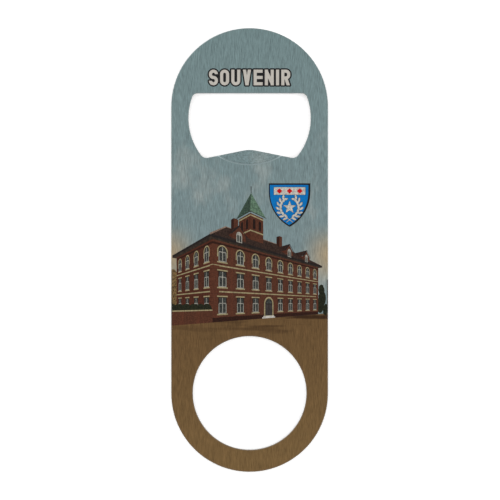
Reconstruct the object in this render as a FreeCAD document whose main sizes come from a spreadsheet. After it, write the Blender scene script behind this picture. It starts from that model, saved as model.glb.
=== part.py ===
import FreeCAD, Part
import math
import os
import Sketcher

# Flat bottle opener: one stamped steel plate with a cap opening, a coined prying lip and a
# finger ring, printed on its front face. X runs across the plate, Y along it towards the cap
# opening, Z out of the printed face. The origin is the middle of the back face.

SIZES = [
    ("overall_length", 113.2, "end to end along Y"),
    ("overall_width", 40.0, "across X, and the diameter of both ends"),
    ("plate_thickness", 2.0, "steel sheet"),
    ("edge_round", 0.25, "deburred rounding of every edge of the plate"),
    ("top_bar", 16.6, "metal between the top end and the straight edge of the cap opening"),
    ("cap_diameter", 31.2, "round sides of the cap opening"),
    ("cap_edge_rise", 6.3, "straight edge above the centre of the round sides"),
    ("cap_corner_radius", 1.4, "corners beside the straight edge"),
    ("lip_drop", 8.0, "apex of the lip's two ramps below the centre of the round sides"),
    ("lip_ramp_angle", 11.5, "degrees, fall of each ramp from the apex to its corner"),
    ("lip_apex_radius", 8.0, "rounding of the apex"),
    ("lip_corner_radius", 1.8, "corners beside the ramps"),
    ("coin_reach", 4.1, "coined area below the apex"),
    ("coin_depth", 0.45, "coined area below the front face"),
    ("coin_draft", 40.0, "degrees, lean of the coined step"),
    ("ring_diameter", 29.0, "finger ring"),
    ("ring_rim", 5.6, "metal below the finger ring"),
    ("ink_thickness", 0.04, "every printed layer"),
    ("print_setback", 0.05, "bare steel between an edge's rounding and the ink"),
    ("lettering_height", 4.0, "capitals"),
    ("lettering_rise", 2.0, "baseline above the straight edge of the cap opening"),
    ("letter_width", 2.3, "every capital but I"),
    ("letter_gap", 0.55, "between capitals"),
    ("stroke_width", 0.8, "bare steel stroke of a capital"),
    ("letter_outline", 0.36, "dark ink round each stroke"),
    ("emblem_width", 10.6, "shield"),
    ("emblem_height", 11.1, "shield"),
    ("emblem_shoulder", 2.2, "straight part of the shield's sides"),
    ("emblem_margin", 4.5, "from the plate's side to the shield"),
    ("emblem_drop", 8.7, "from the lip's apex to the shield's top edge"),
]

# Heights along Y, from the same cells.
CAP_EDGE_Y = "(Sizes.overall_length / 2 - Sizes.top_bar)"
CAP_CENTRE_Y = f"({CAP_EDGE_Y} - Sizes.cap_edge_rise)"
LIP_APEX_Y = f"({CAP_CENTRE_Y} - Sizes.lip_drop)"
COIN_CENTRE_Y = f"({LIP_APEX_Y} - Sizes.coin_reach + Sizes.cap_diameter / 2)"
RING_CENTRE_Y = "(Sizes.ring_rim + Sizes.ring_diameter / 2 - Sizes.overall_length / 2)"
EMBLEM_TOP_Y = f"({LIP_APEX_Y} - Sizes.emblem_drop)"
EMBLEM_X = "(Sizes.overall_width / 2 - Sizes.emblem_margin - Sizes.emblem_width / 2)"

# Heights along Z, and how far the ink stays behind the plate's outlines.
FRONT_Z = "Sizes.plate_thickness"
COIN_FLOOR_Z = "(Sizes.plate_thickness - Sizes.coin_depth)"
EDGE_MARGIN = "(Sizes.edge_round + Sizes.print_setback)"
DRAFT_MARGIN = "(Sizes.coin_depth * tan(Sizes.coin_draft * 1deg) + Sizes.print_setback)"

# Centre lines of the capitals on a unit square, as runs of points; True rounds a run's corners.
# A slanted stroke runs past the square, so that the capital's cell cuts its ends level.
CAPITALS = {
    "S": [([(1, 0.9), (1, 1), (0, 1), (0, 0.5), (1, 0.5), (1, 0), (0, 0), (0, 0.1)], True)],
    "O": [([(1, 0.5), (1, 1), (0, 1), (0, 0), (1, 0), (1, 0.5)], True)],
    "U": [([(0, 1), (0, 0), (1, 0), (1, 1)], True)],
    "V": [([(0.02, 1.3), (0.555, -0.3)], False), ([(0.98, 1.3), (0.445, -0.3)], False)],
    "E": [([(1, 1), (0, 1), (0, 0), (1, 0)], False), ([(0, 0.5), (1, 0.5)], False)],
    "N": [([(0, 0), (0, 1), (1, 0), (1, 1)], False)],
    "I": [([(0, 0), (0, 1)], False)],
    "R": [([(0, 0), (0, 1)], False), ([(0, 1), (1, 1), (1, 0.46), (0, 0.46)], True),
          ([(0.55, 0.4), (1.05, -0.3)], False)],
}
WORD = "SOUVENIR"

ORIGIN_POINT = (-1, 1)
X_AXIS, Y_AXIS = -1, -2
START, END, CENTRE = 1, 2, 3
THROUGH_ALL = 1
UP = FreeCAD.Vector(0, 0, 1)

doc = FreeCAD.newDocument("bottle_opener")
sheet = doc.addObject("Spreadsheet::Sheet", "Sizes")
for row, (alias, number, note) in enumerate(SIZES, start=1):
    sheet.set(f"A{row}", alias)
    sheet.set(f"B{row}", str(number))
    sheet.set(f"C{row}", note)
    sheet.setAlias(f"B{row}", alias)
doc.recompute()


def size(expression):
    """The number that an expression over the sheet's cells gives now."""
    result = sheet.evalExpression(expression)
    return float(getattr(result, "Value", result))


def point(x, y):
    return FreeCAD.Vector(x, y, 0)


def new_sketch(body, name, height):
    """A sketch on the body's own XY plane, lifted to a height."""
    plane = next(f for f in body.Origin.OriginFeatures if f.Role == "XY_Plane")
    sketch = body.newObject("Sketcher::SketchObject", name)
    sketch.AttachmentSupport = [(plane, "")]
    sketch.MapMode = "FlatFace"
    sketch.setExpression("AttachmentOffset.Base.z", height)
    return sketch


def constrain(sketch, kind, *where):
    return sketch.addConstraint(Sketcher.Constraint(kind, *where))


def drive(sketch, name, expression, kind, *where):
    """A named constraint that follows an expression."""
    index = constrain(sketch, kind, *where, size(expression))
    sketch.renameConstraint(index, name)
    sketch.setExpression(f"Constraints.{name}", expression)


def pad(body, sketch, name, length):
    feature = body.newObject("PartDesign::Pad", name)
    feature.Profile = sketch
    feature.setExpression("Length", length)
    doc.recompute()
    return feature


def pocket_through(body, sketch, name):
    """Cuts the sketch through the whole body, both ways."""
    feature = body.newObject("PartDesign::Pocket", name)
    feature.Profile = sketch
    feature.Type = THROUGH_ALL
    feature.Midplane = True
    doc.recompute()
    return feature


def fillet(body, name, wanted, radius):
    """Rounds the edges of the body's shape that wanted() picks."""
    base = body.Tip
    edges = [f"Edge{i}" for i, e in enumerate(base.Shape.Edges, start=1) if wanted(e)]
    if not edges:
        return
    feature = body.newObject("PartDesign::Fillet", name)
    feature.Base = (base, edges)
    feature.setExpression("Radius", radius)
    doc.recompute()


def upright_at(places):
    """Picks the edges along Z that stand on one of the places."""
    def wanted(edge):
        box = edge.BoundBox
        return box.ZLength > 0 and max(box.XLength, box.YLength) < 1e-6 and any(
            math.hypot(box.XMin - p.x, box.YMin - p.y) < 1e-4 for p in places)
    return wanted


def flat_at(heights):
    """Picks the edges that lie in one of the planes."""
    def wanted(edge):
        box = edge.BoundBox
        return box.ZLength < 1e-6 and any(abs(box.ZMin - z) < 1e-6 for z in heights)
    return wanted


def plate_outline(sketch, margin):
    """The rounded-end outline, drawn in by a margin."""
    radius = f"Sizes.overall_width / 2 - {margin}"
    rise = "(Sizes.overall_length - Sizes.overall_width) / 2"
    r, y = size(radius), size(rise)
    right = sketch.addGeometry(Part.LineSegment(point(r, -y), point(r, y)))
    top = sketch.addGeometry(Part.ArcOfCircle(Part.Circle(point(0, y), UP, r), 0, math.pi))
    left = sketch.addGeometry(Part.LineSegment(point(-r, y), point(-r, -y)))
    bottom = sketch.addGeometry(
        Part.ArcOfCircle(Part.Circle(point(0, -y), UP, r), math.pi, 2 * math.pi))
    for one, other in ((right, top), (top, left), (left, bottom), (bottom, right)):
        constrain(sketch, "Tangent", one, END, other, START)
    constrain(sketch, "PointOnObject", top, CENTRE, Y_AXIS)
    constrain(sketch, "Symmetric", top, CENTRE, bottom, CENTRE, *ORIGIN_POINT)
    constrain(sketch, "Equal", top, bottom)
    drive(sketch, "end_radius", radius, "Radius", top)
    drive(sketch, "end_rise", rise, "DistanceY", *ORIGIN_POINT, top, CENTRE)


def cut_cap_opening(body, height, margin):
    """The cap opening: round sides, a straight edge above and the lip's two ramps below,
    opened out by a margin."""
    sketch = new_sketch(body, f"{body.Name}_cap_profile", height)
    radius = f"Sizes.cap_diameter / 2 + {margin}"
    edge = f"{CAP_EDGE_Y} + {margin}"
    apex = f"{LIP_APEX_Y} - {margin} / cos(Sizes.lip_ramp_angle * 1deg)"
    r, y_centre, y_edge, y_apex = size(radius), size(CAP_CENTRE_Y), size(edge), size(apex)
    fall = math.radians(size("Sizes.lip_ramp_angle"))
    upper = math.asin((y_edge - y_centre) / r)
    lower = -fall - math.asin((y_centre - y_apex) * math.cos(fall) / r)
    x_edge = r * math.cos(upper)
    low = point(r * math.cos(lower), y_centre + r * math.sin(lower))
    circle = Part.Circle(point(0, y_centre), UP, r)
    straight = sketch.addGeometry(
        Part.LineSegment(point(x_edge, y_edge), point(-x_edge, y_edge)))
    left = sketch.addGeometry(Part.ArcOfCircle(circle, math.pi - upper, math.pi - lower))
    ramp_up = sketch.addGeometry(Part.LineSegment(point(-low.x, low.y), point(0, y_apex)))
    ramp_down = sketch.addGeometry(Part.LineSegment(point(0, y_apex), low))
    right = sketch.addGeometry(Part.ArcOfCircle(circle, lower, upper))
    run = (straight, left, ramp_up, ramp_down, right)
    for one, other in zip(run, run[1:] + run[:1]):
        constrain(sketch, "Coincident", one, END, other, START)
    constrain(sketch, "Coincident", left, CENTRE, right, CENTRE)
    constrain(sketch, "PointOnObject", left, CENTRE, Y_AXIS)
    constrain(sketch, "PointOnObject", ramp_up, END, Y_AXIS)
    constrain(sketch, "Symmetric", straight, START, straight, END, Y_AXIS)
    constrain(sketch, "Equal", ramp_up, ramp_down)
    drive(sketch, "side_radius", radius, "Radius", right)
    drive(sketch, "centre_height", CAP_CENTRE_Y, "DistanceY", *ORIGIN_POINT, right, CENTRE)
    drive(sketch, "edge_height", edge, "DistanceY", *ORIGIN_POINT, straight, START)
    drive(sketch, "apex_height", apex, "DistanceY", *ORIGIN_POINT, ramp_up, END)
    drive(sketch, "ramp_angle", "Sizes.lip_ramp_angle * 1deg", "Angle", ramp_up)
    pocket_through(body, sketch, f"{body.Name}_cap_opening")
    corners = {
        "straight": [sketch.getPoint(straight, START), sketch.getPoint(straight, END)],
        "ramp": [sketch.getPoint(ramp_up, START), sketch.getPoint(ramp_down, END)],
        "apex": [sketch.getPoint(ramp_up, END)],
    }
    fillet(body, f"{body.Name}_straight_corners", upright_at(corners["straight"]),
           f"Sizes.cap_corner_radius + {margin}")
    fillet(body, f"{body.Name}_ramp_corners", upright_at(corners["ramp"]),
           f"Sizes.lip_corner_radius + {margin}")
    fillet(body, f"{body.Name}_apex", upright_at(corners["apex"]),
           f"Sizes.lip_apex_radius - {margin}")


def cut_ring(body, height, margin):
    """The finger ring's hole, opened out by a margin."""
    sketch = new_sketch(body, f"{body.Name}_ring_profile", height)
    radius = f"Sizes.ring_diameter / 2 + {margin}"
    ring = sketch.addGeometry(Part.Circle(point(0, size(RING_CENTRE_Y)), UP, size(radius)))
    constrain(sketch, "PointOnObject", ring, CENTRE, Y_AXIS)
    drive(sketch, "ring_radius", radius, "Radius", ring)
    drive(sketch, "ring_height", RING_CENTRE_Y, "DistanceY", *ORIGIN_POINT, ring, CENTRE)
    pocket_through(body, sketch, f"{body.Name}_ring_hole")


def coin_segment(body, name, height, margin):
    """The coined area: an arc as wide as the cap opening's round sides, closed by a chord that
    lies inside the opening."""
    sketch = new_sketch(body, name, height)
    radius = f"Sizes.cap_diameter / 2 + {margin}"
    chord = f"{LIP_APEX_Y} + Sizes.cap_edge_rise / 4"
    r, y_centre, y_chord = size(radius), size(COIN_CENTRE_Y), size(chord)
    half = math.sqrt(r * r - (y_centre - y_chord) ** 2)
    reach = math.atan2(half, y_centre - y_chord)
    arc = sketch.addGeometry(Part.ArcOfCircle(
        Part.Circle(point(0, y_centre), UP, r), -math.pi / 2 - reach, -math.pi / 2 + reach))
    line = sketch.addGeometry(Part.LineSegment(point(half, y_chord), point(-half, y_chord)))
    constrain(sketch, "Coincident", arc, END, line, START)
    constrain(sketch, "Coincident", line, END, arc, START)
    constrain(sketch, "PointOnObject", arc, CENTRE, Y_AXIS)
    constrain(sketch, "Horizontal", line)
    drive(sketch, "coin_radius", radius, "Radius", arc)
    drive(sketch, "coin_height", COIN_CENTRE_Y, "DistanceY", *ORIGIN_POINT, arc, CENTRE)
    drive(sketch, "chord_height", chord, "DistanceY", *ORIGIN_POINT, line, START)
    return sketch


def make_plate():
    """The steel plate, with rounded edges and the coined step at the lip."""
    body = doc.addObject("PartDesign::Body", "opener_plate")
    outline = new_sketch(body, "plate_outline", "0")
    plate_outline(outline, "0")
    pad(body, outline, "plate", "Sizes.plate_thickness")
    cut_cap_opening(body, FRONT_Z, "0")
    cut_ring(body, FRONT_Z, "0")
    fillet(body, "plate_edges", flat_at([0, size(FRONT_Z)]), "Sizes.edge_round")
    whole = body.Shape.Volume
    coin = body.newObject("PartDesign::Pocket", "coined_lip")
    coin.Profile = coin_segment(body, "coin_profile", FRONT_Z, "0")
    coin.setExpression("Length", "Sizes.coin_depth")
    coin.setExpression("TaperAngle", "-Sizes.coin_draft")
    doc.recompute()
    if not body.Shape.Volume < whole:
        raise RuntimeError("the coined lip cut nothing")
    return body


def make_lip_print():
    """The ink on the floor of the coined area."""
    body = doc.addObject("PartDesign::Body", "lip_print")
    floor = coin_segment(body, "lip_print_profile", COIN_FLOOR_Z, f"-{DRAFT_MARGIN}")
    pad(body, floor, "lip_ink", "Sizes.ink_thickness")
    cut_cap_opening(body, COIN_FLOOR_Z, "Sizes.print_setback")
    return body


def make_emblem():
    """The shield: a flat top, short straight sides and two arcs down to a point."""
    body = doc.addObject("PartDesign::Body", "emblem_print")
    sketch = new_sketch(body, "shield", FRONT_Z)
    half, drop = size("Sizes.emblem_width / 2"), size("Sizes.emblem_height")
    x, y = size(EMBLEM_X), size(EMBLEM_TOP_Y)
    shoulder = size("Sizes.emblem_shoulder")
    bow = drop - shoulder
    radius = (half * half + bow * bow) / (2 * half)
    y_arc = y - shoulder
    sweep = math.asin(bow / radius)
    top = sketch.addGeometry(Part.LineSegment(point(x - half, y), point(x + half, y)))
    right = sketch.addGeometry(Part.LineSegment(point(x + half, y), point(x + half, y_arc)))
    right_arc = sketch.addGeometry(Part.ArcOfCircle(
        Part.Circle(point(x + half - radius, y_arc), UP, radius), -sweep, 0))
    left_arc = sketch.addGeometry(Part.ArcOfCircle(
        Part.Circle(point(x - half + radius, y_arc), UP, radius), math.pi, math.pi + sweep))
    left = sketch.addGeometry(Part.LineSegment(point(x - half, y_arc), point(x - half, y)))
    constrain(sketch, "Coincident", top, END, right, START)
    constrain(sketch, "Coincident", left, END, top, START)
    constrain(sketch, "Tangent", right, END, right_arc, END)
    constrain(sketch, "Tangent", left, START, left_arc, START)
    constrain(sketch, "Coincident", right_arc, START, left_arc, END)
    constrain(sketch, "Horizontal", top)
    constrain(sketch, "Vertical", right)
    constrain(sketch, "Vertical", left)
    constrain(sketch, "Equal", right, left)
    constrain(sketch, "Equal", right_arc, left_arc)
    drive(sketch, "shield_width", "Sizes.emblem_width", "DistanceX", top, START, top, END)
    drive(sketch, "shoulder", "Sizes.emblem_shoulder", "DistanceY", right, END, right, START)
    drive(sketch, "shield_height", "Sizes.emblem_height", "DistanceY", left_arc, END, left, END)
    drive(sketch, "shield_left", f"{EMBLEM_X} - Sizes.emblem_width / 2", "DistanceX",
          *ORIGIN_POINT, top, START)
    drive(sketch, "shield_top", EMBLEM_TOP_Y, "DistanceY", *ORIGIN_POINT, top, START)
    pad(body, sketch, "shield_ink", "Sizes.ink_thickness")
    return body


def bar(start, end, width):
    """A straight stroke with square ends."""
    along = (end - start).normalize()
    side = point(-along.y, along.x) * (width / 2)
    corners = [start - side, end - side, end + side, start + side]
    return Part.Face(Part.makePolygon(corners + corners[:1]))


def bend(before, corner, after, radius, width):
    """A quarter ring in place of a square corner."""
    inward = (before - corner).normalize() + (after - corner).normalize()
    centre = corner + inward * radius
    outer, inner = radius + width / 2, radius - width / 2
    disc = Part.Face(Part.Wire(Part.makeCircle(outer, centre)))
    if inner > 0:
        disc = disc.cut(Part.Face(Part.Wire(Part.makeCircle(inner, centre))))
    far = inward * -outer
    quarter = [centre, centre + point(far.x, 0), centre + far, centre + point(0, far.y)]
    return disc.common(Part.Face(Part.makePolygon(quarter + quarter[:1])))


def stroke(points, width, radius):
    """Faces along a run of points: square corners and ends or, with a radius, round corners."""
    faces = []
    last = len(points) - 2
    for number, (start, end) in enumerate(zip(points, points[1:])):
        along = (end - start).normalize()
        bend_before = radius and number > 0
        bend_after = radius and number < last
        if bend_after:
            faces.append(bend(start, end, points[number + 2], radius, width))
        start += along * (radius if bend_before else -width / 2)
        end -= along * (radius if bend_after else -width / 2)
        if (end - start).dot(along) > 1e-6:
            faces.append(bar(start, end, width))
    return faces


def joined(faces):
    """The flat areas that overlapping faces at height zero cover together."""
    whole = faces[0].extrude(UP)
    if len(faces) > 1:
        whole = whole.multiFuse([face.extrude(UP) for face in faces[1:]]).removeSplitter()
    return [face for face in whole.Faces if face.BoundBox.ZMax < 1e-6]


def capital(letter, left, base):
    """A capital's strokes as one flat area."""
    height, width = size("Sizes.lettering_height"), size("Sizes.stroke_width")
    across = 0 if letter == "I" else size("Sizes.letter_width") - width
    up = height - width
    corner_radius = min(across, up / 2) / 2
    faces = []
    for run, rounded in CAPITALS[letter]:
        points = [point(left + width / 2 + u * across, base + width / 2 + v * up)
                  for u, v in run]
        faces += stroke(points, width, corner_radius if rounded else 0)
    cell = Part.makePlane(across + width, height, point(left, base))
    return joined([face.common(cell) for face in faces])[0]


def make_lettering():
    """The dark outlines of the word round its bare strokes, and the area that the whole word
    takes from the picture."""
    gap, full = size("Sizes.letter_gap"), size("Sizes.letter_width")
    widths = [size("Sizes.stroke_width") if c == "I" else full for c in WORD]
    base = size(f"{CAP_EDGE_Y} + Sizes.lettering_rise")
    left = -(sum(widths) + gap * (len(WORD) - 1)) / 2
    ink = UP * size("Sizes.ink_thickness")
    letters, grown = [], []
    for letter, width in zip(WORD, widths):
        face = capital(letter, left, base)
        letters.append(face.extrude(ink))
        grown.append(face.makeOffset2D(size("Sizes.letter_outline")))
        left += width + gap
    filled = [Part.Face(face.OuterWire).extrude(ink) for face in joined(grown)]
    area = doc.addObject("Part::Feature", "lettering_area")
    area.Shape = Part.makeCompound(filled)
    lettering = doc.addObject("Part::Feature", "lettering_print")
    lettering.Shape = area.Shape.cut(Part.makeCompound(letters))
    for feature in (area, lettering):
        feature.setExpression("Placement.Base.z", FRONT_Z)
    return area, lettering


def make_face_print(emblem, lettering_area):
    """The picture's ink on the flat of the front face, open round the lettering and shield."""
    body = doc.addObject("PartDesign::Body", "face_ink")
    outline = new_sketch(body, "face_ink_outline", FRONT_Z)
    plate_outline(outline, EDGE_MARGIN)
    pad(body, outline, "face_ink_layer", "Sizes.ink_thickness")
    cut_cap_opening(body, FRONT_Z, EDGE_MARGIN)
    cut_ring(body, FRONT_Z, EDGE_MARGIN)
    pocket_through(body, coin_segment(body, "face_ink_coin", FRONT_Z, "Sizes.print_setback"),
                   "face_ink_step")
    taken = doc.addObject("Part::MultiFuse", "spot_ink_areas")
    taken.Shapes = [emblem, lettering_area]
    face_print = doc.addObject("Part::Cut", "face_print")
    face_print.Base = body
    face_print.Tool = taken
    return face_print


def write_step(subparts):
    """Writes each sub-part once everything in the document is sound."""
    doc.recompute()
    for thing in doc.Objects:
        if "Invalid" in thing.State or "Error" in thing.State:
            raise RuntimeError(f"{thing.Label} failed: {thing.State}")
    os.makedirs("parts", exist_ok=True)
    for subpart in subparts:
        shape = subpart.Shape
        if shape.isNull() or not shape.isValid() or not shape.Solids:
            raise RuntimeError(f"{subpart.Label} has no sound shape")
        shape.exportStep(f"parts/{subpart.Label}.step")
        print(f"{subpart.Label}: {len(shape.Solids)} solid(s), {shape.Volume:.2f} mm3")


plate = make_plate()
lip_print = make_lip_print()
emblem_print = make_emblem()
lettering_area, lettering_print = make_lettering()
face_print = make_face_print(emblem_print, lettering_area)
write_step([plate, face_print, lip_print, emblem_print, lettering_print])
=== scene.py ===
import bmesh
import bpy
import math
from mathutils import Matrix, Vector
from mathutils.geometry import delaunay_2d_cdt


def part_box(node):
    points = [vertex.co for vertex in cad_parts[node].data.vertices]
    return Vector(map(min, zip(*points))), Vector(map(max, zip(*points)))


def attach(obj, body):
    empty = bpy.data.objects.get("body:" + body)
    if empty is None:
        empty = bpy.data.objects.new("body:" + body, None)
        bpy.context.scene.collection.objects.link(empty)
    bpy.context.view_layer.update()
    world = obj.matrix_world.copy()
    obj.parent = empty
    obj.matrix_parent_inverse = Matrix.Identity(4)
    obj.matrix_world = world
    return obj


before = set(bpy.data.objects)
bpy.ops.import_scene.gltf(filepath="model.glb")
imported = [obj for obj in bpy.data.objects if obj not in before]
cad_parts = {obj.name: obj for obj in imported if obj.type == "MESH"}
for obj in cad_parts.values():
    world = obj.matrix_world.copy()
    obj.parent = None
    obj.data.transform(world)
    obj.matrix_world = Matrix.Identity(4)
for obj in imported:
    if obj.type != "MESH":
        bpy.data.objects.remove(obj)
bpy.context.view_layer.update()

mm = 0.001
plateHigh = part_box("opener_plate")[1]
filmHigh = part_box("face_print")[1]
wordLow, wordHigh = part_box("lettering_print")
lipLow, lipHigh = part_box("lip_print")
emblemLow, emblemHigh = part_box("emblem_print")

print("frame loaded:", len(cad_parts), "nodes")


stage = {
    "floorSize": 3.0,
    "floorGap": 0.1 * mm,       # the floor lies just under the plate
    "frameWidth": 127.5 * mm,   # what the camera sees across
    "cameraAside": (0.1 * mm, 0.0),
    "lens": 200.0,
    "sensor": 36.0,
    "skyStrength": 0.86,
    "floorGlow": 0.3,
    "lampSize": 1.2,
    "lampPower": 5.0,
    "lamps": (("lampLeft", (-0.9, 0.7, 1.3)), ("lampRight", (1.1, -0.2, 1.4))),
}


def tone(red, green, blue):  # a colour as it should look, 0 to 255, in the renderer's linear values
    def linear(value):
        value = value / 255
        return value / 12.92 if value <= 0.04045 else ((value + 0.055) / 1.055) ** 2.4
    return (linear(red), linear(green), linear(blue), 1.0)


def deselectAll():
    if bpy.context.mode != "OBJECT":
        bpy.ops.object.mode_set(mode="OBJECT")
    bpy.ops.object.select_all(action="DESELECT")


def buildStage():
    scene = bpy.context.scene
    scene.view_settings.view_transform = "Standard"
    deselectAll()
    bpy.ops.mesh.primitive_plane_add(size=stage["floorSize"], location=(0, 0, -stage["floorGap"]))
    floor = bpy.context.object
    floor.name = "floor"
    paper = bpy.data.materials.new("floorPaper")
    paper.use_nodes = True
    surface = paper.node_tree.nodes["Principled BSDF"]
    surface.inputs["Base Color"].default_value = (0.98, 0.98, 0.98, 1)
    surface.inputs["Roughness"].default_value = 0.9
    surface.inputs["Specular IOR Level"].default_value = 0.1
    surface.inputs["Emission Color"].default_value = (1, 1, 1, 1)
    surface.inputs["Emission Strength"].default_value = stage["floorGlow"]
    floor.data.materials.append(paper)

    world = bpy.data.worlds.new("softRoom")
    world.use_nodes = True
    world.node_tree.nodes["Background"].inputs["Color"].default_value = (1, 1, 1, 1)
    world.node_tree.nodes["Background"].inputs["Strength"].default_value = stage["skyStrength"]
    scene.world = world

    for name, place in stage["lamps"]:
        bpy.ops.object.light_add(type="AREA", location=place)
        lamp = bpy.context.object
        lamp.name = name
        lamp.data.size = stage["lampSize"]
        lamp.data.energy = stage["lampPower"]
        lamp.rotation_euler = Vector(place).to_track_quat("Z", "Y").to_euler()

    distance = stage["frameWidth"] * stage["lens"] / stage["sensor"]
    aside, up = stage["cameraAside"]
    bpy.ops.object.camera_add(location=(aside, up, plateHigh.z + distance))
    camera = bpy.context.object
    camera.data.lens = stage["lens"]
    camera.data.sensor_width = stage["sensor"]
    camera.data.clip_start = 0.01
    scene.camera = camera


buildStage()
print("stage ready")


brushing = {
    "streakWidth": 0.13 * mm,
    "streakLength": 2.0 * mm,
    "bandWidth": 0.9 * mm,
    "bandLength": 14.0 * mm,
    "inkSheen": 0.12,
    "underInk": 0.36,           # how much the brushing shows through the picture
    "stepHighlight": tone(176, 194, 196),    # painted highlight on the coined step's slope, where the light catches it
    "steel": tone(203, 197, 188),
    "steelDark": tone(176, 171, 163),
    "edgeSteel": tone(158, 157, 154),   # the sides and back
    "edgeSteelDark": tone(118, 117, 115),
    "scratch": tone(222, 218, 210),
    "scratchWidth": 0.5 * mm,
    "scratchLength": 30 * mm,
    "scratchShare": 0.35,
    "stepHighlightShare": 0.6,           # how strongly the painted highlight shows on the step
    "pitWidth": 0.35 * mm,      # the coined floor's grain
    "inkRoughness": (0.48, 0.4),        # between the lines and on them
    "steelRoughness": (0.42, 0.3),
    "inkDepth": 0.004 * mm,     # how deep the lines look
    "steelDepth": 0.006 * mm,
    "pictureMetal": 0.45,
}


class Nodes:  # short ways to add and join a material's nodes
    def __init__(self, name):
        self.material = bpy.data.materials.new(name)
        self.material.use_nodes = True
        self.tree = self.material.node_tree
        self.surface = self.tree.nodes["Principled BSDF"]
        self.place = self.tree.nodes.new("ShaderNodeTexCoord").outputs["Object"]

    def add(self, kind, **settings):
        node = self.tree.nodes.new(kind)
        for name, value in settings.items():
            setattr(node, name, value)
        return node

    def join(self, source, socket):
        if isinstance(source, (int, float, tuple)):
            socket.default_value = source
        else:
            self.tree.links.new(source, socket)

    def math(self, operation, first, second=0.0, third=0.0):
        node = self.add("ShaderNodeMath", operation=operation)
        for value, socket in zip((first, second, third), node.inputs):
            self.join(value, socket)
        return node.outputs[0]

    def spread(self, value, fromLow, fromHigh, low=0.0, high=1.0, smooth=False):
        node = self.add("ShaderNodeMapRange", interpolation_type="SMOOTHSTEP" if smooth else "LINEAR")
        for source, socket in zip((value, fromLow, fromHigh, low, high), node.inputs):
            self.join(source, socket)
        return node.outputs[0]

    def mix(self, amount, first, second, blend="MIX"):
        node = self.add("ShaderNodeMix", data_type="RGBA", blend_type=blend)
        self.join(amount, node.inputs["Factor"])
        self.join(first, node.inputs[6])    # 6 and 7 are its two colours, 2 its colour result
        self.join(second, node.inputs[7])
        return node.outputs[2]

    def noise(self, width, length=None, detail=2.0, rough=0.5, shift=0.0):
        # cloudy noise whose grains are so wide across and so long along the plate
        stretch = self.add("ShaderNodeMapping")
        length = length or width
        stretch.inputs["Scale"].default_value = (1 / width, 1 / length, 1 / width)
        stretch.inputs["Location"].default_value = (shift, shift, shift)
        self.tree.links.new(self.place, stretch.inputs["Vector"])
        node = self.add("ShaderNodeTexNoise")
        node.inputs["Scale"].default_value = 1.0
        node.inputs["Detail"].default_value = detail
        node.inputs["Roughness"].default_value = rough
        self.tree.links.new(stretch.outputs["Vector"], node.inputs["Vector"])
        return node.outputs["Fac"]

    def axes(self):
        split = self.add("ShaderNodeSeparateXYZ")
        self.tree.links.new(self.place, split.inputs["Vector"])
        return split.outputs["X"], split.outputs["Y"], split.outputs["Z"]

    def bump(self, height, distance):
        node = self.add("ShaderNodeBump")
        node.inputs["Distance"].default_value = distance
        self.tree.links.new(height, node.inputs["Height"])
        self.tree.links.new(node.outputs["Normal"], self.surface.inputs["Normal"])


def brushLines(nodes):  # the steel's fine lines along the plate, about 0 to 1
    fine = nodes.noise(brushing["streakWidth"], brushing["streakLength"], detail=3.0, rough=0.65)
    bands = nodes.noise(brushing["bandWidth"], brushing["bandLength"], detail=2.0, shift=7.0)
    both = nodes.math("ADD", nodes.math("MULTIPLY", fine, 0.9), nodes.math("MULTIPLY", bands, 0.1))
    return nodes.spread(both, 0.3, 0.7)


def overBrushing(nodes, colour, lines, strength):  # lets the brushing show through an ink
    shade = nodes.spread(lines, 0.0, 1.0, 1.0 - strength, 1.0 + strength)
    grey = nodes.add("ShaderNodeCombineColor")
    for socket in grey.inputs[:3]:
        nodes.tree.links.new(shade, socket)
    return nodes.mix(1.0, colour, grey.outputs[0], "MULTIPLY")


picture = {
    "skyTop": tone(109, 129, 130),
    "skyMid": tone(116, 133, 135),
    "cloud": tone(140, 149, 147),
    "haze": tone(158, 141, 113),
    "groundNear": tone(112, 88, 55),
    "groundFar": tone(98, 74, 46),
    "groundDark": tone(50, 31, 17),
    "hazeHeight": -1.5 * mm,     # middle of the warm glow, up from the plate's centre
    "hazeSpread": 9.0 * mm,
    "groundLine": -17.66 * mm,   # where the ground meets the sky in the middle of the plate
    "groundRise": 0.077,         # its slope across the plate
    "skyTopHeight": 57 * mm,
    "cloudSize": (7 * mm, 11 * mm),
    "cloudFade": (36 * mm, 14 * mm),    # none above the first height, all below the second
    "hazeSides": (12 * mm, 21 * mm),    # the glow grows from here toward the rims
    "groundDepth": 36 * mm,      # from its far edge down to its lightest
    "patchSize": (14 * mm, 1.5 * mm),
    "patchFade": (5.5 * mm, 1.5 * mm),  # the dark patches lie near the far edge
    "patchSides": (-8 * mm, 10 * mm),   # and mostly at the right
    "edgeBlur": 0.1 * mm,
    "rims": ((-1, tone(66, 38, 28), -19.2 * mm, -15.9 * mm), (-1, tone(32, 34, 22), -15.9 * mm, -13.4 * mm),
             (-1, tone(88, 72, 46), -13.4 * mm, -5.0 * mm), (1, tone(36, 36, 24), -16.1 * mm, -7.5 * mm)),
}


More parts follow.
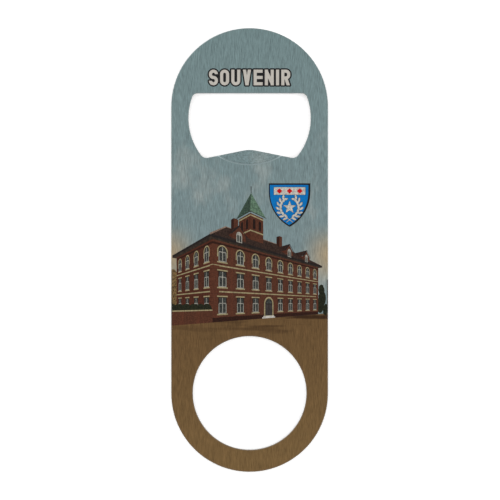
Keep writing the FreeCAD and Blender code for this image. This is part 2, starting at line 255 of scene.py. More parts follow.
def pictureColour(nodes):  # sky above, ground below, as printed over the whole face
    x, y, _ = nodes.axes()
    rise = nodes.spread(y, picture["skyTopHeight"], 0.0)
    sky = nodes.mix(rise, picture["skyTop"], picture["skyMid"])
    clouds = nodes.spread(nodes.noise(*picture["cloudSize"], detail=4.0, shift=3.0), 0.48, 0.72, smooth=True)
    cloudy = nodes.math("MULTIPLY", clouds, nodes.spread(y, *picture["cloudFade"]))
    sky = nodes.mix(cloudy, sky, picture["cloud"])
    offset = nodes.math("ABSOLUTE", nodes.math("SUBTRACT", y, picture["hazeHeight"]))
    level = nodes.spread(offset, picture["hazeSpread"], 0.0, smooth=True)
    side = nodes.spread(nodes.math("ABSOLUTE", x), *picture["hazeSides"], smooth=True)
    sky = nodes.mix(nodes.math("MULTIPLY", level, side), sky, picture["haze"])
    depth = nodes.math("SUBTRACT", nodes.math("MULTIPLY_ADD", x, picture["groundRise"],
                                              picture["groundLine"]), y)
    ground = nodes.mix(nodes.spread(depth, 0.0, picture["groundDepth"]), picture["groundFar"],
                       picture["groundNear"])
    patches = nodes.noise(*picture["patchSize"], detail=5.0, shift=4.0)
    patches = nodes.spread(patches, 0.5, 0.62, smooth=True)
    nearTop = nodes.spread(depth, *picture["patchFade"])
    onRight = nodes.spread(x, *picture["patchSides"], 0.25, 0.9)
    patches = nodes.math("MULTIPLY", patches, nodes.math("MULTIPLY", nearTop, onRight))
    ground = nodes.mix(patches, ground, picture["groundDark"])
    whole = nodes.mix(nodes.spread(depth, -picture["edgeBlur"], picture["edgeBlur"]), sky, ground)
    for side, colour, low, high in picture["rims"]:     # what the drawing runs into at the rims
        rim = nodes.math("GREATER_THAN", nodes.math("MULTIPLY", x, side), filmHigh.x)
        whole = nodes.mix(nodes.math("MULTIPLY", rim, between(nodes, y, low, high)), whole, colour)
    return whole


def makePictureInk(name, grit=0.0):
    nodes = Nodes(name)
    lines = brushLines(nodes)
    colour = pictureColour(nodes)
    if grit:
        pits = nodes.noise(brushing["pitWidth"], detail=3.0, shift=5.0)
        lines = nodes.math("ADD", nodes.math("MULTIPLY", lines, 1 - grit),
                           nodes.math("MULTIPLY", nodes.spread(pits, 0.3, 0.7), grit))
    nodes.join(overBrushing(nodes, colour, lines, brushing["underInk"]), nodes.surface.inputs["Base Color"])
    nodes.join(nodes.spread(lines, 0, 1, *brushing["inkRoughness"]), nodes.surface.inputs["Roughness"])
    nodes.surface.inputs["Metallic"].default_value = brushing["pictureMetal"]
    nodes.surface.inputs["Specular IOR Level"].default_value = brushing["inkSheen"]
    nodes.bump(lines, brushing["inkDepth"])
    return nodes.material


def makeSteel():
    nodes = Nodes("brushedSteel")
    lines = brushLines(nodes)
    scratches = nodes.noise(brushing["scratchWidth"], brushing["scratchLength"], detail=4.0, rough=0.7,
                            shift=2.0)
    scratches = nodes.math("MULTIPLY", nodes.spread(scratches, 0.6, 0.75), brushing["scratchShare"])
    steel = nodes.mix(lines, brushing["steelDark"], brushing["steel"])
    steel = nodes.mix(scratches, steel, brushing["scratch"])
    x, y, z = nodes.axes()
    facing = nodes.add("ShaderNodeSeparateXYZ")
    shape = nodes.add("ShaderNodeNewGeometry")
    nodes.tree.links.new(shape.outputs["True Normal"], facing.inputs["Vector"])
    upward = nodes.spread(facing.outputs["Z"], 0.12, 0.3)
    steel = nodes.mix(upward, nodes.mix(lines, brushing["edgeSteelDark"], brushing["edgeSteel"]), steel)
    inked = nodes.math("MULTIPLY", upward, nodes.math("GREATER_THAN", z, plateHigh.z * 0.6))
    inWord = nodes.math("MULTIPLY", between(nodes, x, wordLow.x, wordHigh.x),
                        between(nodes, y, wordLow.y, wordHigh.y))
    inked = nodes.math("MULTIPLY", inked, nodes.math("SUBTRACT", 1.0, inWord))
    ink = overBrushing(nodes, pictureColour(nodes), lines, brushing["underInk"])
    step = nodes.spread(facing.outputs["Z"], 0.95, 0.75)    # only the slope of the coined step, where the highlight is painted
    step = nodes.math("MULTIPLY", step, between(nodes, y, lipLow.y - 0.7 * mm, lipHigh.y))
    step = nodes.math("MULTIPLY", step, between(nodes, x, lipLow.x - mm, lipHigh.x + mm))
    # paints a highlight onto the step's slope
    ink = nodes.mix(nodes.math("MULTIPLY", step, brushing["stepHighlightShare"]), ink, brushing["stepHighlight"])
    nodes.join(nodes.mix(inked, steel, ink), nodes.surface.inputs["Base Color"])
    nodes.join(nodes.spread(inked, 0, 1, 1.0, brushing["pictureMetal"]), nodes.surface.inputs["Metallic"])
    nodes.join(nodes.spread(lines, 0, 1, *brushing["steelRoughness"]), nodes.surface.inputs["Roughness"])
    nodes.bump(lines, brushing["steelDepth"])
    return nodes.material


def between(nodes, value, low, high):
    return nodes.math("MULTIPLY", nodes.math("GREATER_THAN", value, low),
                      nodes.math("LESS_THAN", value, high))


def makeInk(name, light, dark, grain=0.5 * mm, show=0.26, metal=0.4, stretch=1.0):
    # one printed colour: two tones of it mottled together, over the brushing
    nodes = Nodes(name)
    lines = brushLines(nodes)
    mottle = nodes.spread(nodes.noise(grain, grain * stretch, detail=4.0, rough=0.6, shift=13.0), 0.35, 0.65)
    colour = nodes.mix(mottle, dark, light)
    nodes.join(overBrushing(nodes, colour, lines, show), nodes.surface.inputs["Base Color"])
    nodes.join(nodes.spread(lines, 0, 1, *brushing["inkRoughness"]), nodes.surface.inputs["Roughness"])
    nodes.surface.inputs["Metallic"].default_value = metal
    nodes.surface.inputs["Specular IOR Level"].default_value = brushing["inkSheen"]
    nodes.bump(lines, brushing["inkDepth"])
    return nodes.material


inks = {
    "brick": makeInk("brickInk", tone(86, 51, 36), tone(65, 36, 25), 0.35 * mm),
    "brickShade": makeInk("brickShadeInk", tone(79, 41, 28), tone(59, 30, 19), 0.35 * mm),
    "brickDark": makeInk("brickDarkInk", tone(52, 27, 18), tone(34, 17, 12), 0.35 * mm),
    "pier": makeInk("pierInk", tone(90, 51, 36), tone(71, 39, 26), 0.3 * mm),
    "roof": makeInk("roofInk", tone(64, 47, 40), tone(28, 20, 16), 0.4 * mm, stretch=0.5),
    "roofShade": makeInk("roofShadeInk", tone(56, 38, 32), tone(32, 21, 18), 0.4 * mm),
    "tile": makeInk("tileInk", tone(138, 116, 100), tone(104, 84, 72), 0.4 * mm),
    "gutter": makeInk("gutterInk", tone(40, 34, 32), tone(26, 22, 22), 0.4 * mm),
    "soffit": makeInk("soffitInk", tone(56, 46, 37), tone(34, 28, 23), 0.6 * mm),
    "reveal": makeInk("revealInk", tone(40, 24, 19), tone(26, 16, 13), 0.4 * mm),
    "glass": makeInk("windowInk", tone(70, 72, 68), tone(24, 26, 26), 0.4 * mm),
    "frame": makeInk("frameInk", tone(160, 157, 147), tone(122, 120, 112), 0.3 * mm),
    "post": makeInk("postInk", tone(192, 188, 180), tone(158, 154, 147), 0.3 * mm),
    "cream": makeInk("creamInk", tone(156, 144, 110), tone(126, 116, 87), 0.5 * mm),
    "door": makeInk("doorInk", tone(62, 58, 56), tone(44, 41, 40), 0.5 * mm, stretch=3.0),
    "copper": makeInk("copperInk", tone(100, 128, 106), tone(68, 88, 73), 0.4 * mm),
    "copperShade": makeInk("copperShadeInk", tone(64, 84, 70), tone(38, 50, 44), 0.4 * mm),
    "leafGold": makeInk("goldLeafInk", tone(136, 110, 70), tone(36, 28, 18), 0.4 * mm),
    "leafDark": makeInk("darkLeafInk", tone(40, 42, 26), tone(20, 22, 14), 0.4 * mm),
    "blue": makeInk("blueInk", tone(5, 110, 178), tone(2, 100, 166), 0.6 * mm, show=0.08),
    "navy": makeInk("navyInk", tone(36, 52, 70), tone(24, 38, 54), 0.4 * mm, show=0.1),
    "silver": makeInk("silverInk", tone(206, 202, 194), tone(150, 146, 138), 0.3 * mm, metal=0.6),
    "crimson": makeInk("crimsonInk", tone(196, 16, 22), tone(166, 10, 16), 0.4 * mm, show=0.1),
    "black": makeInk("blackInk", tone(30, 31, 32), tone(18, 19, 20), 0.4 * mm, show=0.3, metal=0.2),
}

nodeInks = {
    "opener_plate": makeSteel(),
    "face_print": makePictureInk("pictureInk"),
    "lip_print": makePictureInk("lipInk", grit=0.7),
    "emblem_print": inks["blue"],
    "lettering_print": inks["black"],
}
for nodeName, material in nodeInks.items():
    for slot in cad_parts[nodeName].material_slots:
        slot.material = material

print("materials ready:", len(bpy.data.materials))


# The printed town hall is modelled in metres, standing on a street: x runs along its front,
# y back along its left side and z up from the pavement, with the near corner at the origin.
# Each piece is then seen from the eye's place and pressed flat onto the face print. A later
# piece hides what it covers of the earlier ones, and what is left is one layer of ink.

street = {
    "eye": Vector((-13.3, -22.9, 2.65)),
    "turn": math.radians(41.8),     # between the front and the picture
    "focal": 45.9 * mm,
    "horizon": -13.7 * mm,          # height of the eye on the plate
    "inkHeight": 0.015 * mm,        # the drawing stands this far above the film
    "inkSink": 0.005 * mm,          # and reaches this far into it
}
street["ahead"] = Vector((math.sin(street["turn"]), math.cos(street["turn"]), 0))
street["across"] = Vector((math.cos(street["turn"]), -math.sin(street["turn"]), 0))
faceFront = (math.radians(90), 0, 0)
faceLeft = (math.radians(90), 0, math.radians(-90))
drawn = []      # each drawn piece and its ink's slot, the furthest first


def startPiece(name):  # an empty mesh, in edit mode
    deselectAll()
    bpy.ops.mesh.primitive_plane_add(size=1)
    piece = bpy.context.object
    piece.name = name
    piece.data.name = name
    bpy.ops.object.mode_set(mode="EDIT")
    bpy.ops.mesh.delete(type="VERT")
    return piece


def keepSelected(test):  # of the selected points, keeps those that pass
    mesh = bmesh.from_edit_mesh(bpy.context.object.data)
    kept = [point for point in mesh.verts if point.select and test(point.co)]
    bpy.ops.mesh.select_all(action="DESELECT")
    for point in kept:
        point.select_set(True)
    mesh.select_flush(True)
    bmesh.update_edit_mesh(bpy.context.object.data)


def keepFaces(test):  # deletes the piece's faces whose normals fail the test
    mesh = bmesh.from_edit_mesh(bpy.context.object.data)
    mesh.normal_update()
    gone = [face for face in mesh.faces if not test(face.normal)]
    bmesh.ops.delete(mesh, geom=gone, context="FACES")
    bmesh.update_edit_mesh(bpy.context.object.data)


def addBlock(low, high):
    bpy.ops.mesh.select_all(action="DESELECT")
    middle = [(a + b) / 2 for a, b in zip(low, high)]
    reach = [b - a for a, b in zip(low, high)]
    bpy.ops.mesh.primitive_cube_add(size=1, location=middle, scale=reach)


def pinchTop(low, high, xKeep, yKeep):  # draws a block's top in to a ridge or a point
    keepSelected(lambda p: p.z > (low[2] + high[2]) / 2)
    middle = ((low[0] + high[0]) / 2, (low[1] + high[1]) / 2, high[2])
    bpy.ops.transform.resize(value=(xKeep, yKeep, 1), center_override=middle)


def addPanel(x, y, low, width, height, turn=faceFront):  # an upright sheet, from its foot's middle
    bpy.ops.mesh.select_all(action="DESELECT")
    middle = (x, y, low + height / 2)
    bpy.ops.mesh.primitive_plane_add(size=1, location=middle, rotation=turn)
    reach = (1, width, height) if turn == faceLeft else (width, 1, height)
    bpy.ops.transform.resize(value=reach, center_override=middle)


def addArch(x, y, low, width, height, turn=faceFront):  # a panel with a round head
    addPanel(x, y, low, width, height, turn)
    keepSelected(lambda p: p.z > low + height / 2)
    bpy.ops.mesh.bevel(offset=width * 0.499, offset_type="OFFSET", segments=8, affect="VERTICES")


def addPole(start, end, radius):  # a thin rod between two points
    start = Vector(start)
    end = Vector(end)
    turn = (end - start).to_track_quat("Z", "Y").to_euler()
    bpy.ops.mesh.select_all(action="DESELECT")
    bpy.ops.mesh.primitive_cylinder_add(vertices=6, radius=radius, depth=(end - start).length,
                                        location=(start + end) / 2, rotation=turn)


def seenOnPlate(point):  # where the eye sees a street point, on the plate
    ray = point - street["eye"]
    depth = ray.dot(street["ahead"])
    return Vector((street["focal"] * ray.dot(street["across"]) / depth,
                   street["horizon"] + street["focal"] * ray.z / depth, 0))


def pressFlat(piece, shades, pickShade=None, undersides=False):
    # leaves only what faces the eye and draws it on the plate
    bpy.ops.object.mode_set(mode="OBJECT")
    for shade in shades:
        piece.data.materials.append(inks[shade])
    mesh = bmesh.new()
    mesh.from_mesh(piece.data)
    mesh.normal_update()
    hidden = []
    for face in mesh.faces:
        away = face.normal.dot(street["eye"] - face.calc_center_median()) <= 1e-6
        if away or (face.normal.z < -0.5 and not undersides):
            hidden.append(face)
        elif pickShade:
            face.material_index = pickShade(face.normal)
    bmesh.ops.delete(mesh, geom=hidden, context="FACES")
    for point in mesh.verts:
        point.co = seenOnPlate(point.co)
    mesh.to_mesh(piece.data)
    mesh.free()
    bpy.ops.object.mode_set(mode="EDIT")
    for side in (-1, 1):
        bpy.ops.mesh.select_all(action="SELECT")
        bpy.ops.mesh.bisect(plane_co=(side * filmHigh.x, 0, 0), plane_no=(side, 0, 0), clear_outer=True)
    bpy.ops.object.mode_set(mode="OBJECT")
    drawn.append((piece, "picture_ink"))


def inside(spot, outline):
    crossings = 0
    for first, second in zip(outline, outline[1:] + outline[:1]):
        if (first.y > spot.y) != (second.y > spot.y):
            share = (spot.y - first.y) / (second.y - first.y)
            crossings += spot.x < first.x + share * (second.x - first.x)
    return crossings % 2 == 1


def hideCovered():  # cuts every drawn piece back to what no later piece covers
    points, shapes, owners = [], [], []
    for order, (piece, _) in enumerate(drawn):
        corners = piece.data.vertices
        for face in piece.data.polygons:
            shapes.append(list(range(len(points), len(points) + len(face.vertices))))
            points += [corners[index].co.to_2d() / mm for index in face.vertices]
            owners.append((order, face.material_index))
    outlines = [[points[index] for index in shape] for shape in shapes]
    spots, _, patches, _, _, sources = delaunay_2d_cdt(points, [], shapes, 1, 1e-5, True)
    meshes = [bmesh.new() for _ in drawn]
    placed = [{} for _ in drawn]
    for patch, source in zip(patches, sources):
        middle = sum((spots[index] for index in patch), Vector((0, 0))) / len(patch)
        cover = [index for index in source if inside(middle, outlines[index])]
        if not cover:
            continue
        order, shade = owners[max(cover)]
        for index in patch:
            if index not in placed[order]:
                placed[order][index] = meshes[order].verts.new((*(spots[index] * mm), 0))
        face = meshes[order].faces.new([placed[order][index] for index in patch])
        face.material_index = shade
    for (piece, _), mesh in zip(drawn, meshes):
        mesh.to_mesh(piece.data)
        mesh.free()


def layInk():  # gives each drawn piece the ink's thickness
    hideCovered()
    for piece, slotName in drawn:
        deselectAll()
        bpy.context.view_layer.objects.active = piece
        piece.select_set(True)
        bpy.ops.object.mode_set(mode="EDIT")
        bpy.ops.mesh.select_all(action="SELECT")
        bpy.ops.mesh.dissolve_limited(angle_limit=math.radians(0.5), delimit={"MATERIAL"})
        bpy.ops.transform.translate(value=(0, 0, filmHigh.z + street["inkHeight"]))
        bpy.ops.object.mode_set(mode="OBJECT")
        thick = piece.modifiers.new("thickness", "SOLIDIFY")
        thick.thickness = street["inkHeight"] + street["inkSink"]
        thick.offset = -1
        bpy.ops.object.modifier_apply(modifier=thick.name)
        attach(piece, "root")


hall = {
    "length": 31.0,
    "depth": 14.2,
    "eaves": 12.0,
    "gutter": 0.4,              # its height
    "overhang": 0.7,
    "ridge": 18.0,
    "bays": 9,
    "sideBays": 4,
    "entrance": 3,              # the bay with the door and the tower, counted from 0
    "footing": 0.05,            # how far walls reach under the pavement
    "plinth": 0.7,
    "frieze": 0.3,              # the dark course under the eaves
    "friezeDrop": 0.6,
    "pierWidth": 0.45,
    "bands": (4.35, 8.2),       # heights of the cream courses
    "bandWidth": 0.2,
    "longStone": 1.15,          # the corner stones
    "shortStone": 0.7,
    "stoneHeight": 0.6,
    "stoneJoint": 0.1,
    "tileRadius": 0.13,         # the ridge tiles
    "chimneys": (8.4, 22.4),
    "chimneyHalf": 0.55,
    "chimneyFront": 5.4,
    "chimneyBack": 6.3,
    "chimneyFoot": 14.5,
    "chimneyTop": 19.4,
}
roofFoot = hall["eaves"] + hall["gutter"]
roofRise = (hall["ridge"] - roofFoot) / (hall["depth"] / 2 + hall["overhang"])
bayWidth = hall["length"] / hall["bays"]
bayMiddles = [(bay + 0.5) * bayWidth for bay in range(hall["bays"])]
sideMiddles = [(bay + 0.5) * hall["depth"] / hall["sideBays"] for bay in range(hall["sideBays"])]
entranceMiddle = bayMiddles[hall["entrance"]]


def frontShade(normal):  # 0 for what faces the street, 1 for the left side
    return 1 if normal.x < -0.3 else 0


def cutByRoof():  # takes away what lies under the main roof's front slope
    out = hall["overhang"]
    bpy.ops.mesh.select_all(action="SELECT")
    bpy.ops.mesh.bisect(plane_co=(-out, -out, roofFoot), plane_no=(0, -roofRise, 1), clear_inner=True)


def addBand(low, height):  # a course round the front and the left side
    addPanel(hall["length"] / 2, 0, low, hall["length"], height)
    addPanel(0, hall["depth"] / 2, low, hall["depth"], height, faceLeft)


def buildWalls():
    slab = startPiece("eaves")
    out = hall["overhang"]
    addBlock((-out, -out, hall["eaves"]), (hall["length"] + out, hall["depth"] + out, roofFoot))
    pressFlat(slab, ("gutter", "soffit"), lambda normal: 1 if normal.z < -0.5 else 0, undersides=True)

    walls = startPiece("brickWalls")
    addBlock((0, 0, -hall["footing"]), (hall["length"], hall["depth"], hall["eaves"]))
    pressFlat(walls, ("brick", "brickShade"), frontShade)

    piers = startPiece("wallPiers")
    for bay in range(1, hall["bays"]):
        addPanel(bay * bayWidth, 0, 0, hall["pierWidth"], hall["eaves"])
    pressFlat(piers, ("pier",))

    plinth = startPiece("plinth")
    addBand(-hall["footing"], hall["plinth"])
    addBand(hall["eaves"] - hall["friezeDrop"], hall["frieze"])
    pressFlat(plinth, ("brickDark",))

    bands = startPiece("creamBands")
    for height in hall["bands"]:
        addBand(height, hall["bandWidth"])
    pressFlat(bands, ("cream",))

    stones = startPiece("cornerStones")
    tall, joint = hall["stoneHeight"], hall["stoneJoint"]
    for step in range(1, int(hall["eaves"] / tall) - 1):
        front = hall["longStone"] if step % 2 else hall["shortStone"]
        side = hall["shortStone"] if step % 2 else hall["longStone"]
        addPanel(front / 2, 0, step * tall, front, tall - joint)
        addPanel(hall["length"] - front / 2, 0, step * tall, front, tall - joint)
        addPanel(0, side / 2, step * tall, side, tall - joint, faceLeft)
    pressFlat(stones, ("pier",))


windows = {
    "floors": ((1.15, 2.5, False), (5.15, 2.4, False), (8.95, 2.3, True)),  # foot, height, round head
    "width": 1.5,
    "stone": 0.2,               # height of the sills and lintels
    "reveal": 0.12,
    "bar": 0.12,
    "transom": 0.6,             # share of the window's height
    "spring": 0.3,              # where a round head's stone ring starts, as a share of it
}


def windowPlaces():  # each window's middle, foot, height, round head, and whether it is on the left side
    places = []
    for floor, (foot, tall, arched) in enumerate(windows["floors"]):
        for x in bayMiddles:
            if floor > 0 or x != entranceMiddle:
                places.append((x, foot, tall, arched, False))
        for y in sideMiddles:
            places.append((y, foot, tall, arched, True))
    return places


def addOpening(place, low, width, height, arched, onSide):
    x, y, turn = (0, place, faceLeft) if onSide else (place, 0, faceFront)
    if arched:
        addArch(x, y, low, width, height, turn)
    else:
        addPanel(x, y, low, width, height, turn)


def buildWindows():
    width, stone, reveal = windows["width"], windows["stone"], windows["reveal"]
    trims = startPiece("windowStones")
    for place, foot, tall, arched, onSide in windowPlaces():
        addOpening(place, foot - stone, width + 2 * stone, stone, False, onSide)
        if arched:
            ring = tall * (1 - windows["spring"]) + stone
            addOpening(place, foot + tall * windows["spring"], width + 2 * stone, ring, True, onSide)
        else:
            addOpening(place, foot + tall, width + 2 * stone, stone, False, onSide)
    pressFlat(trims, ("cream",))

    reveals = startPiece("windowReveals")
    for place, foot, tall, arched, onSide in windowPlaces():
        addOpening(place, foot, width, tall, arched, onSide)
    pressFlat(reveals, ("reveal",))

    panes = startPiece("windowGlass")
    for place, foot, tall, arched, onSide in windowPlaces():
        addOpening(place, foot, width - 2 * reveal, tall - reveal, arched, onSide)
    pressFlat(panes, ("glass",))

    bars = startPiece("windowBars")
    bar = windows["bar"]
    for place, foot, tall, _, onSide in windowPlaces():
        level = tall * windows["transom"]
        addOpening(place, foot, bar, tall - reveal, False, onSide)
        addOpening(place, foot + level, width - 2 * reveal, bar, False, onSide)
        addOpening(place, foot, width - 2 * reveal, bar, False, onSide)
        for side in (-1, 1):
            addOpening(place + side * (width / 2 - reveal), foot, bar, level, False, onSide)
    pressFlat(bars, ("frame",))


entrance = {
    "width": 2.0,
    "height": 3.2,
    "sill": 0.45,
    "surround": 0.3,
    "leafHeight": 2.1,
    "leafGap": 0.16,
    "fanlightDrop": 0.12,       # from the leaves up to it
    "fanlightInset": 0.15,
    "headGap": 0.1,
    "steps": (3.6, 3.0),        # their widths, from the street up
    "stepHeight": 0.22,
}


def buildEntrance():
    x, wide, sill = entranceMiddle, entrance["width"], entrance["sill"]
    surround = startPiece("entranceSurround")
    addArch(x, 0, 0, wide + 2 * entrance["surround"], sill + entrance["height"] + entrance["surround"])
    pressFlat(surround, ("cream",))

    opening = startPiece("entranceReveal")
    addArch(x, 0, sill, wide, entrance["height"])
    pressFlat(opening, ("reveal",))

    leaves = startPiece("entranceDoors")
    for side in (-1, 1):
        addPanel(x + side * wide / 4, 0, sill, wide / 2 - entrance["leafGap"], entrance["leafHeight"])
    pressFlat(leaves, ("door",))

    fanlight = startPiece("entranceFanlight")
    low = sill + entrance["leafHeight"] + entrance["fanlightDrop"]
    tall = sill + entrance["height"] - low - entrance["headGap"]
    addArch(x, 0, low, wide - 2 * entrance["fanlightInset"], tall)
    pressFlat(fanlight, ("glass",))

    steps = startPiece("entranceSteps")
    for step, width in enumerate(entrance["steps"]):
        addPanel(x, 0, step * entrance["stepHeight"] - hall["footing"], width, entrance["stepHeight"])
    pressFlat(steps, ("post",))


def buildRoof():
    out = hall["overhang"]
    low = (-out, -out, roofFoot)
    high = (hall["length"] + out, hall["depth"] + out, hall["ridge"])
    run = (high[1] - low[1]) / 2        # the same on all four sides
    roof = startPiece("mainRoof")
    addBlock(low, high)
    pinchTop(low, high, 1 - 2 * run / (high[0] - low[0]), 0.01)
    pressFlat(roof, ("roof", "roofShade"), frontShade)

    tiles = startPiece("ridgeTiles")
    first = (low[0] + run, hall["depth"] / 2, hall["ridge"])
    last = (high[0] - run, hall["depth"] / 2, hall["ridge"])
    addPole(low, first, hall["tileRadius"])
    addPole(first, last, hall["tileRadius"])
    pressFlat(tiles, ("tile",))

    stacks = startPiece("chimneys")
    for x in hall["chimneys"]:
        addBlock((x - hall["chimneyHalf"], hall["chimneyFront"], hall["chimneyFoot"]),
                 (x + hall["chimneyHalf"], hall["chimneyBack"], hall["chimneyTop"]))
    cutByRoof()
    pressFlat(stacks, ("brick", "brickDark"), frontShade)


dormers = {
    "bays": (1, 5, 7),          # the bays that they stand over
    "width": 2.8,
    "wall": 1.5,                # heights over the roof's foot
    "apex": 3.1,
    "front": 0.3,
    "back": 4.0,
    "roofBack": 9.0,
    "eaves": 0.25,
    "roofFront": 0.2,
    "verge": 0.14,              # radius of the gable's edge
    "windowWidth": 1.2,
    "windowFoot": 0.3,
    "windowHeight": 1.75,
    "paneFoot": 0.42,
    "paneHeight": 1.05,
    "paneShift": 0.21,          # shares of the window's width
    "paneWidth": 0.3,
}


def buildDormer(bay):
    name = "dormer" + str(bay)
    x, half, front = bayMiddles[bay], dormers["width"] / 2, dormers["front"]
    wall = roofFoot + dormers["wall"]
    apex = roofFoot + dormers["apex"]
    walls = startPiece(name + "Walls")
    addBlock((x - half, front, roofFoot - 0.1), (x + half, dormers["back"], wall))
    cutByRoof()
    addPanel(x, front, wall, 2 * half, apex - wall - 0.2)
    keepSelected(lambda p: p.z > wall + 0.5)
    bpy.ops.transform.resize(value=(0.02, 1, 1), center_override=(x, front, apex))
    pressFlat(walls, ("brick", "brickShade"), frontShade)

    slope = startPiece(name + "Roof")
    reach = half + dormers["eaves"]
    low = (x - reach, front - dormers["roofFront"], wall)
    high = (x + reach, dormers["roofBack"], apex)
    addBlock(low, high)
    pinchTop(low, high, 0.01, 1)
    keepFaces(lambda normal: normal.x < -0.2)
    cutByRoof()
    pressFlat(slope, ("roofShade",))

    verges = startPiece(name + "Verges")
    for side in (-1, 1):
        addPole((x + side * reach, front, wall - 0.1), (x, front, apex - 0.1), dormers["verge"])
    pressFlat(verges, ("gutter",))

    casing = startPiece(name + "Casing")
    wide = dormers["windowWidth"]
    addArch(x, front, roofFoot + dormers["windowFoot"], wide, dormers["windowHeight"])
    pressFlat(casing, ("frame",))

    panes = startPiece(name + "Panes")
    for side in (-1, 1):
        addPanel(x + side * wide * dormers["paneShift"], front, roofFoot + dormers["paneFoot"],
                 wide * dormers["paneWidth"], dormers["paneHeight"])
    pressFlat(panes, ("glass",))


tower = {
    "half": 1.8,
    "front": 3.2,
    "head": 20.4,
    "bands": (16.9, 19.9),
    "bandWidth": 0.26,
    "surround": 0.2,            # brick round its openings
    "openings": (-0.8, 0.8),
    "openingFoot": 17.5,
    "openingHeight": 2.0,
    "openingWidth": 0.75,
    "overhang": 0.4,
    "apex": 25.8,
    "finial": 27.2,
    "finialRadius": 0.08,
    "eavesRadius": 0.13,
}


def buildTower():
    x, half, front, head = entranceMiddle, tower["half"], tower["front"], tower["head"]
    out = tower["overhang"]
    back = front + 2 * half
    shaft = startPiece("towerShaft")
    addBlock((x - half, front, roofFoot), (x + half, back, head))
    cutByRoof()
    pressFlat(shaft, ("brick", "brickShade"), frontShade)

    bands = startPiece("towerBands")
    for height in tower["bands"]:
        addPanel(x, front, height, 2 * half, tower["bandWidth"])
        addPanel(x - half, front + half, height, 2 * half, tower["bandWidth"], faceLeft)
    pressFlat(bands, ("cream",))

    for name, grow, ink in (("towerSurrounds", tower["surround"], "pier"), ("towerOpenings", 0.0, "reveal")):
        piece = startPiece(name)
        for shift in tower["openings"]:
            size = (tower["openingFoot"] - grow, tower["openingWidth"] + 2 * grow,
                    tower["openingHeight"] + 2 * grow)
            addArch(x + shift, front, *size)
            addArch(x - half, front + half + shift, *size, faceLeft)
        pressFlat(piece, (ink,))

    finial = startPiece("towerFinial")
    addPole((x, front + half, tower["apex"] - 0.4), (x, front + half, tower["finial"]), tower["finialRadius"])
    pressFlat(finial, ("gutter",))

    low, high = (x - half - out, front - out, head), (x + half + out, back + out, tower["apex"])
    cover = startPiece("towerRoof")
    addBlock(low, high)
    pinchTop(low, high, 0.01, 0.01)
    pressFlat(cover, ("copper", "copperShade"), frontShade)

    edge = startPiece("towerEaves")
    addPole((low[0], low[1], head), (high[0], low[1], head), tower["eavesRadius"])
    addPole((low[0], low[1], head), (low[0], high[1], head), tower["eavesRadius"])
    pressFlat(edge, ("gutter",))


gardenWall = {
    "left": -9.0,
    "height": 1.7,
    "coping": 0.16,
    "pierWidth": 0.5,
    "piers": (-6.6, -4.4, -2.2),
    "hedge": (1.9, 0.75),       # height of its middle, and the radius of each bush
    "hedgeStart": -0.6,
    "hedgeBack": 0.5,           # how far it stands behind the wall
    "hedgePitch": 1.0,
}


def addClump(x, y, z, radius):  # a round tuft of leaves with a ragged edge
    bpy.ops.mesh.select_all(action="DESELECT")
    bpy.ops.mesh.primitive_circle_add(vertices=30, radius=radius, fill_type="NGON",
                                      location=(x, y, z), rotation=faceFront)
    bpy.ops.transform.vertex_random(offset=trees["leafJitter"] * radius, seed=int(abs(x + z) * 10))


def buildGardenWall():
    left, height = gardenWall["left"], gardenWall["height"]
    middle, radius = gardenWall["hedge"]
    hedge = startPiece("hedge")
    for step in range(int(-left)):
        along = gardenWall["hedgeStart"] - step * gardenWall["hedgePitch"]
        addClump(along, gardenWall["hedgeBack"], middle, radius)
    pressFlat(hedge, ("leafDark",))

    wall = startPiece("gardenWall")
    addPanel(left / 2, 0, -hall["footing"], -left, height)
    pressFlat(wall, ("brick",))

    piers = startPiece("gardenPiers")
    for x in gardenWall["piers"]:
        addPanel(x, 0, -hall["footing"], gardenWall["pierWidth"], height)
    pressFlat(piers, ("pier",))

    coping = startPiece("gardenCoping")
    addPanel(left / 2, 0, height - hall["footing"], -left, gardenWall["coping"])
    pressFlat(coping, ("cream",))


trees = {       # place along the front and back, height of the middle and radius of each clump
    "goldenTree": ((-1.4, 14.6, 8.0, 1.9), (-1.2, 14.6, 5.6, 2.2), (-1.3, 14.6, 3.0, 2.2)),
    "darkTree": ((36.9, 2.0, 6.4, 1.8), (37.2, 2.0, 4.2, 2.3), (36.2, 2.0, 2.2, 2.2), (35.2, 0.0, 1.0, 1.6)),
    "leafJitter": 0.08,
}


def buildTrees():
    for name, ink in (("goldenTree", "leafGold"), ("darkTree", "leafDark")):
        piece = startPiece(name)
        for clump in trees[name]:
            addClump(*clump)
        pressFlat(piece, (ink,))


# The shield is drawn straight on the plate. Its outline is the emblem film's own.
shield = {
    "border": 0.4 * mm,
    "borderShift": -0.12 * mm,      # moves the field over, so the border is thicker at the right
    "middle": emblemLow.x / mm / 2 + emblemHigh.x / mm / 2,     # the rest is in mm on the plate
    "barTop": emblemHigh.y / mm - 1.0,
    "barHalf": 4.0,
    "barWidth": 1.9,
    "lozenges": (-2.6, 0.0, 2.6),   # places along the bar
    "lozengeSize": (0.75, 0.7),     # half width and half height
    "centre": 10.85,                # height of the star and the wreath
    "starRadius": 1.65,
    "starPoints": 5,
    "starWaist": 0.42,              # its inner corners, as a share of the radius
    "wreathRadius": 2.65,
    "leafLength": 1.35,
    "leafWidth": 0.56,
    "leafPairs": 7,
    "leafFrom": -78,                # the lowest pair's place round the wreath, in degrees
    "leafStep": 21,
    "leafTilt": 38,
    "stemWidth": 0.16,
    "outline": 0.09,                # dark edge round the silver parts
}


def addOutline(corners):  # a flat shape from its corners, anticlockwise, in mm on the plate
    mesh = bmesh.from_edit_mesh(bpy.context.object.data)
    points = [mesh.verts.new((x * mm, y * mm, 0)) for x, y in corners]
    face = mesh.faces.new(points)
    face.normal_update()
    if face.normal.z < 0:
        face.normal_flip()
    bmesh.update_edit_mesh(bpy.context.object.data)


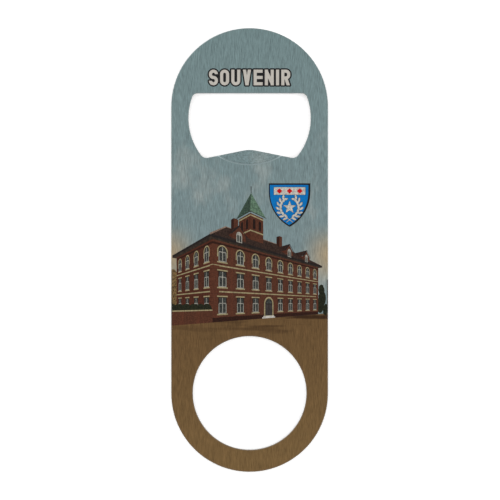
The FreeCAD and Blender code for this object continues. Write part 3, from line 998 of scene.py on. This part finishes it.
def addLeaf(x, y, length, width, turn):  # a pointed leaf, from its foot
    corners = []
    steps = 6
    for side in (1, -1):
        for step in range(steps):
            along = step / steps if side == 1 else 1 - step / steps
            across = -side * width / 2 * math.sin(math.pi * along) ** 0.8
            corners.append((x + length * along * math.cos(turn) - across * math.sin(turn),
                            y + length * along * math.sin(turn) + across * math.cos(turn)))
    addOutline(corners)


def addStar(x, y, radius):
    corners = []
    points = shield["starPoints"]
    for step in range(points * 2):
        reach = radius if step % 2 == 0 else radius * shield["starWaist"]
        angle = math.radians(90) + step * math.pi / points
        corners.append((x + reach * math.cos(angle), y + reach * math.sin(angle)))
    addOutline(corners)


def finishShieldPiece(piece, ink):
    bpy.ops.object.mode_set(mode="OBJECT")
    piece.data.materials.append(inks[ink])
    drawn.append((piece, "emblem_ink"))


def buildShieldBorder():
    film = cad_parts["emblem_print"]
    border = startPiece("shieldBorder")
    bpy.ops.object.mode_set(mode="OBJECT")
    mesh = bmesh.new()
    mesh.from_mesh(film.data)
    mesh.transform(film.matrix_world)
    lower = [face for face in mesh.faces if face.normal.z < 0.9]
    bmesh.ops.delete(mesh, geom=lower, context="FACES")
    bmesh.ops.dissolve_limit(mesh, angle_limit=0.01, verts=mesh.verts, edges=mesh.edges)
    for point in mesh.verts:
        point.co.z = 0
    mesh.to_mesh(border.data)
    mesh.free()
    bpy.ops.object.mode_set(mode="EDIT")
    bpy.ops.mesh.select_all(action="SELECT")
    bpy.ops.mesh.inset(thickness=shield["border"])
    bpy.ops.transform.translate(value=(shield["borderShift"], 0, 0))
    bpy.ops.mesh.delete(type="FACE")
    finishShieldPiece(border, "black")


def addWreath(grow):
    x, y, radius = shield["middle"], shield["centre"], shield["wreathRadius"]
    for side in (-1, 1):
        for step in range(shield["leafPairs"]):
            around = math.radians(shield["leafFrom"] + step * shield["leafStep"])
            tilt = math.radians(shield["leafTilt"])
            foot = (x + side * (radius - 0.1) * math.cos(around), y + radius * math.sin(around))
            for lean in (-tilt, tilt * 0.8):
                turn = around + math.radians(90) + lean
                turn = turn if side == 1 else math.pi - turn
                addLeaf(foot[0] - grow * math.cos(turn), foot[1] - grow * math.sin(turn),
                        shield["leafLength"] + 2 * grow, shield["leafWidth"] + 2 * grow, turn)
    wide = shield["stemWidth"] / 2 + grow
    low = y - radius - 1.1
    high = y - radius + 0.1
    for side in (-1, 1):
        addOutline([(x + side * 0.8, low - wide), (x + side * 0.8, low + wide),
                    (x - side * 0.8, high + wide), (x - side * 0.8, high - wide)])


def addBar(grow):
    half = shield["barHalf"] + grow
    top = shield["barTop"] + grow
    low = top - shield["barWidth"] - 2 * grow
    x = shield["middle"]
    addOutline([(x - half, low), (x + half, low), (x + half, top), (x - half, top)])


def buildShield():
    buildShieldBorder()
    x, y = shield["middle"], shield["centre"]
    for name, ink, grow in (("shieldOutlines", "navy", shield["outline"]), ("shieldSilver", "silver", 0.0)):
        piece = startPiece(name)
        addWreath(grow)
        addBar(grow)
        addStar(x, y, shield["starRadius"] + 2 * grow)
        finishShieldPiece(piece, ink)

    lozenges = startPiece("shieldLozenges")
    wide, tall = shield["lozengeSize"]
    level = shield["barTop"] - shield["barWidth"] / 2
    for shift in shield["lozenges"]:
        addOutline([(x + shift - wide, level), (x + shift, level - tall),
                    (x + shift + wide, level), (x + shift, level + tall)])
    finishShieldPiece(lozenges, "crimson")


buildTrees()
buildWalls()
buildRoof()
buildWindows()
buildEntrance()
buildTower()
for bay in dormers["bays"]:
    buildDormer(bay)
buildGardenWall()
buildShield()
layInk()
print("print drawn:", len(drawn), "pieces")
